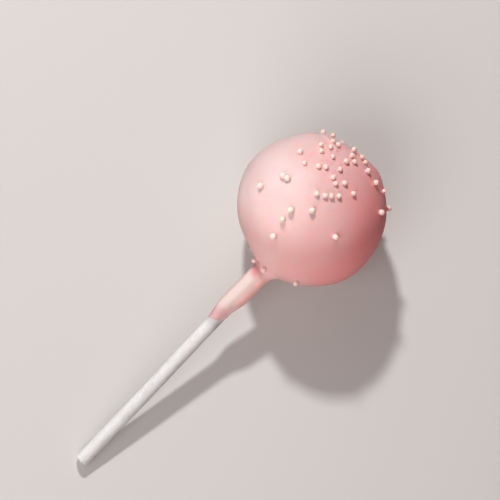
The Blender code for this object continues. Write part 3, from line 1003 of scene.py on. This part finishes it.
# %% Finish the pearls
CREAM = colour(0.88, 0.71, 0.64)
PINK_CREAM = colour(0.88, 0.59, 0.54)
CROWN_BOUNCE_SPAN = (0.0, 0.8)
TINGE_SIZE, TINGE_SHARE = 1.1 * MM, 0.3
BY_STICK_SPAN, BY_STICK_SHARE = (0.8, 0.95), 0.4
GLAZE_SIZE, GLAZE = 0.4 * MM, (0.30, 0.45)
PIT_SIZE, PIT_DEPTH = 0.18 * MM, 0.015 * MM
SUGAR_DEPTH, SUGAR_COLOURS = 1.2 * MM, (1.0, 0.8, 0.7)

cream = Finish("cream_sugar")
# Painted bounce light: pearls pinker towards the crown, broken by a random tone.
crown_bounce_and_tone = cream.mean(cream.ramp(cream.along(ALONG), *CROWN_BOUNCE_SPAN),
                   cream.noise(TINGE_SIZE), TINGE_SHARE)
near_stick = cream.ramp(cream.along(-ALONG), *BY_STICK_SPAN, 0.0, BY_STICK_SHARE)
cream_colour = cream.blend(near_stick, cream.blend(crown_bounce_and_tone, CREAM, PINK_CREAM), PINK_CREAM)
cream.set(Base_Color=cream_colour,
          Roughness=cream.ramp(cream.noise(GLAZE_SIZE), *NOISE_SPAN, *GLAZE),
          Normal=cream.bump(cream.noise(PIT_SIZE), PIT_DEPTH),
          Subsurface_Weight=1.0, Subsurface_Radius=SUGAR_COLOURS,
          Subsurface_Scale=SUGAR_DEPTH)
sugar.data.materials.append(cream.material)
print("nodes for the sugar:", len(cream.tree.nodes))

# %% [markdown]
# ## The paper
#
# Paper has fibres that run along the roll, so their noise is stretched twenty times along
# the stick. Grey blotches and small pale specks are where the sheet is thinner or thicker.
# Just past the sleeve's edge the paper is a darker grey.

# %% Finish the stick
PAPER = colour(0.605, 0.61, 0.60)
PAPER_SHADE = colour(0.52, 0.51, 0.50)
PAPER_SPECK = colour(0.68, 0.67, 0.665)
PAPER_GREY_BAND = colour(0.47, 0.46, 0.45)
PAPER_ROUGH = 0.6
FIBRE_SIZE, FIBRE_STRETCH, FIBRE_DEPTH = 0.22 * MM, 20.0, 0.02 * MM
BLOTCH_SIZE, BLOTCH_STRETCH, BLOTCH_SPAN = 2.2 * MM, 3.0, (0.48, 0.72)
SPECK_SIZE, SPECK_STRETCH, SPECK_SPAN = 0.5 * MM, 1.6, (0.42, 0.74)
MATT = (0.60, 0.78)
SHEET_WEIGHT, SHEET_DEPTH, SHEET_COLOURS = 0.15, 0.5 * MM, (1.0, 0.95, 0.9)

paper = Finish("rolled_paper")
fibres = paper.noise(FIBRE_SIZE, 3.0, PAPER_ROUGH, FIBRE_STRETCH)
blotches = paper.ramp(paper.noise(BLOTCH_SIZE, 3.0, PAPER_ROUGH, BLOTCH_STRETCH), *BLOTCH_SPAN)
specks = paper.ramp(paper.noise(SPECK_SIZE, 2.0, PAPER_ROUGH, SPECK_STRETCH), *SPECK_SPAN)
paper_colour = paper.blend(blotches, PAPER, PAPER_SHADE)
paper_colour = paper.blend(specks, paper_colour, PAPER_SPECK)
# The darker grey band just past the sleeve's edge.
paper_colour = paper.blend(paper.attribute("soaked"), paper_colour, PAPER_GREY_BAND)
paper.set(Base_Color=paper_colour,
          Roughness=paper.ramp(fibres, *NOISE_SPAN, *MATT),
          Normal=paper.bump(fibres, FIBRE_DEPTH),
          Subsurface_Weight=SHEET_WEIGHT, Subsurface_Radius=SHEET_COLOURS,
          Subsurface_Scale=SHEET_DEPTH)
stick.data.materials.append(paper.material)
print("nodes for the paper:", len(paper.tree.nodes))

# %% [markdown]
# ## Floor and light
#
# The pop lies on a plain pale floor. A large panel low on the left lights it softly and
# leaves the far side in shade. A small lamp at the top of the picture draws a short clear
# shadow below each pearl. A wide white card shows only as sheen on the satin skin: it is
# hidden from diffuse light, so the sheen and the light can each be set alone. The room adds
# a dim warm glow, and the coating doesn't mirror the floor.
#
# The lamps stand by directions in the picture: so much right, so much up, so much towards
# the camera.

# %% Light the scene
FLOOR_SIZE = 3.0
FLOOR_COLOUR, FLOOR_ROUGHNESS = colour(0.54, 0.53, 0.51), 0.9
WORLD_COLOUR, WORLD_STRENGTH = colour(1.0, 0.60, 0.58), 0.16

# Direction, metres from the ball, width and height, watts, lights things, shows as sheen
LAMPS = {
    "left_panel": ((-0.35, -0.50, 0.79), 0.55, (0.42, 0.60), 2.3, True, False),
    "top_lamp": ((-0.10, 0.77, 0.63), 0.70, (0.05, 0.05), 4.65, True, False),
    "white_card": ((-0.78, 0.29, 0.55), 0.50, (1.07, 1.38), 13.0, False, True),
}

corners = np.array([(-1, -1, 0), (1, -1, 0), (1, 1, 0), (-1, 1, 0)]) * FLOOR_SIZE / 2
floor = make_mesh("floor", corners, np.array([[0, 1, 2, 3]]), np.zeros((0, 3), int))
matt = Finish("pale_floor")
matt.set(Base_Color=FLOOR_COLOUR, Roughness=FLOOR_ROUGHNESS)
floor.data.materials.append(matt.material)
floor.visible_glossy = False
floor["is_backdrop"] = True

for name, (direction, distance, size, power, lights, mirrors) in LAMPS.items():
    lamp = bpy.data.lights.new(name, "AREA")
    lamp.shape = "RECTANGLE"
    lamp.size = size[0]
    lamp.size_y = size[1]
    lamp.energy = power
    stand = bpy.data.objects.new(name, lamp)
    bpy.context.scene.collection.objects.link(stand)
    stand.visible_camera = False
    stand.visible_diffuse = lights
    stand.visible_glossy = mirrors
    place = BALL_CENTRE + distance * (np.array(direction) @ VIEW_AXES)
    stand.matrix_world = aim_from(place, BALL_CENTRE, UP)

world = bpy.data.worlds.new("pale_room")
world.use_nodes = True
world.node_tree.nodes["Background"].inputs["Color"].default_value = WORLD_COLOUR
world.node_tree.nodes["Background"].inputs["Strength"].default_value = WORLD_STRENGTH
bpy.context.scene.world = world
bpy.context.scene.view_settings.view_transform = "Standard"
print("lamps:", ", ".join(LAMPS))

# %% [markdown]
# ## Sizes, and the end
#
# Both boxes, of the solids and of the dressed pop, are printed in millimetres. The dressed
# pop has to fill the same box as the solids.

# %% Print the sizes
SHOWN_BOX = [list(corner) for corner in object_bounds()]
for name, box in (("solids", CAD_BOX), ("dressed", SHOWN_BOX)):
    print(name, [round((high - low) / MM, 2) for low, high in zip(*box)], "mm")
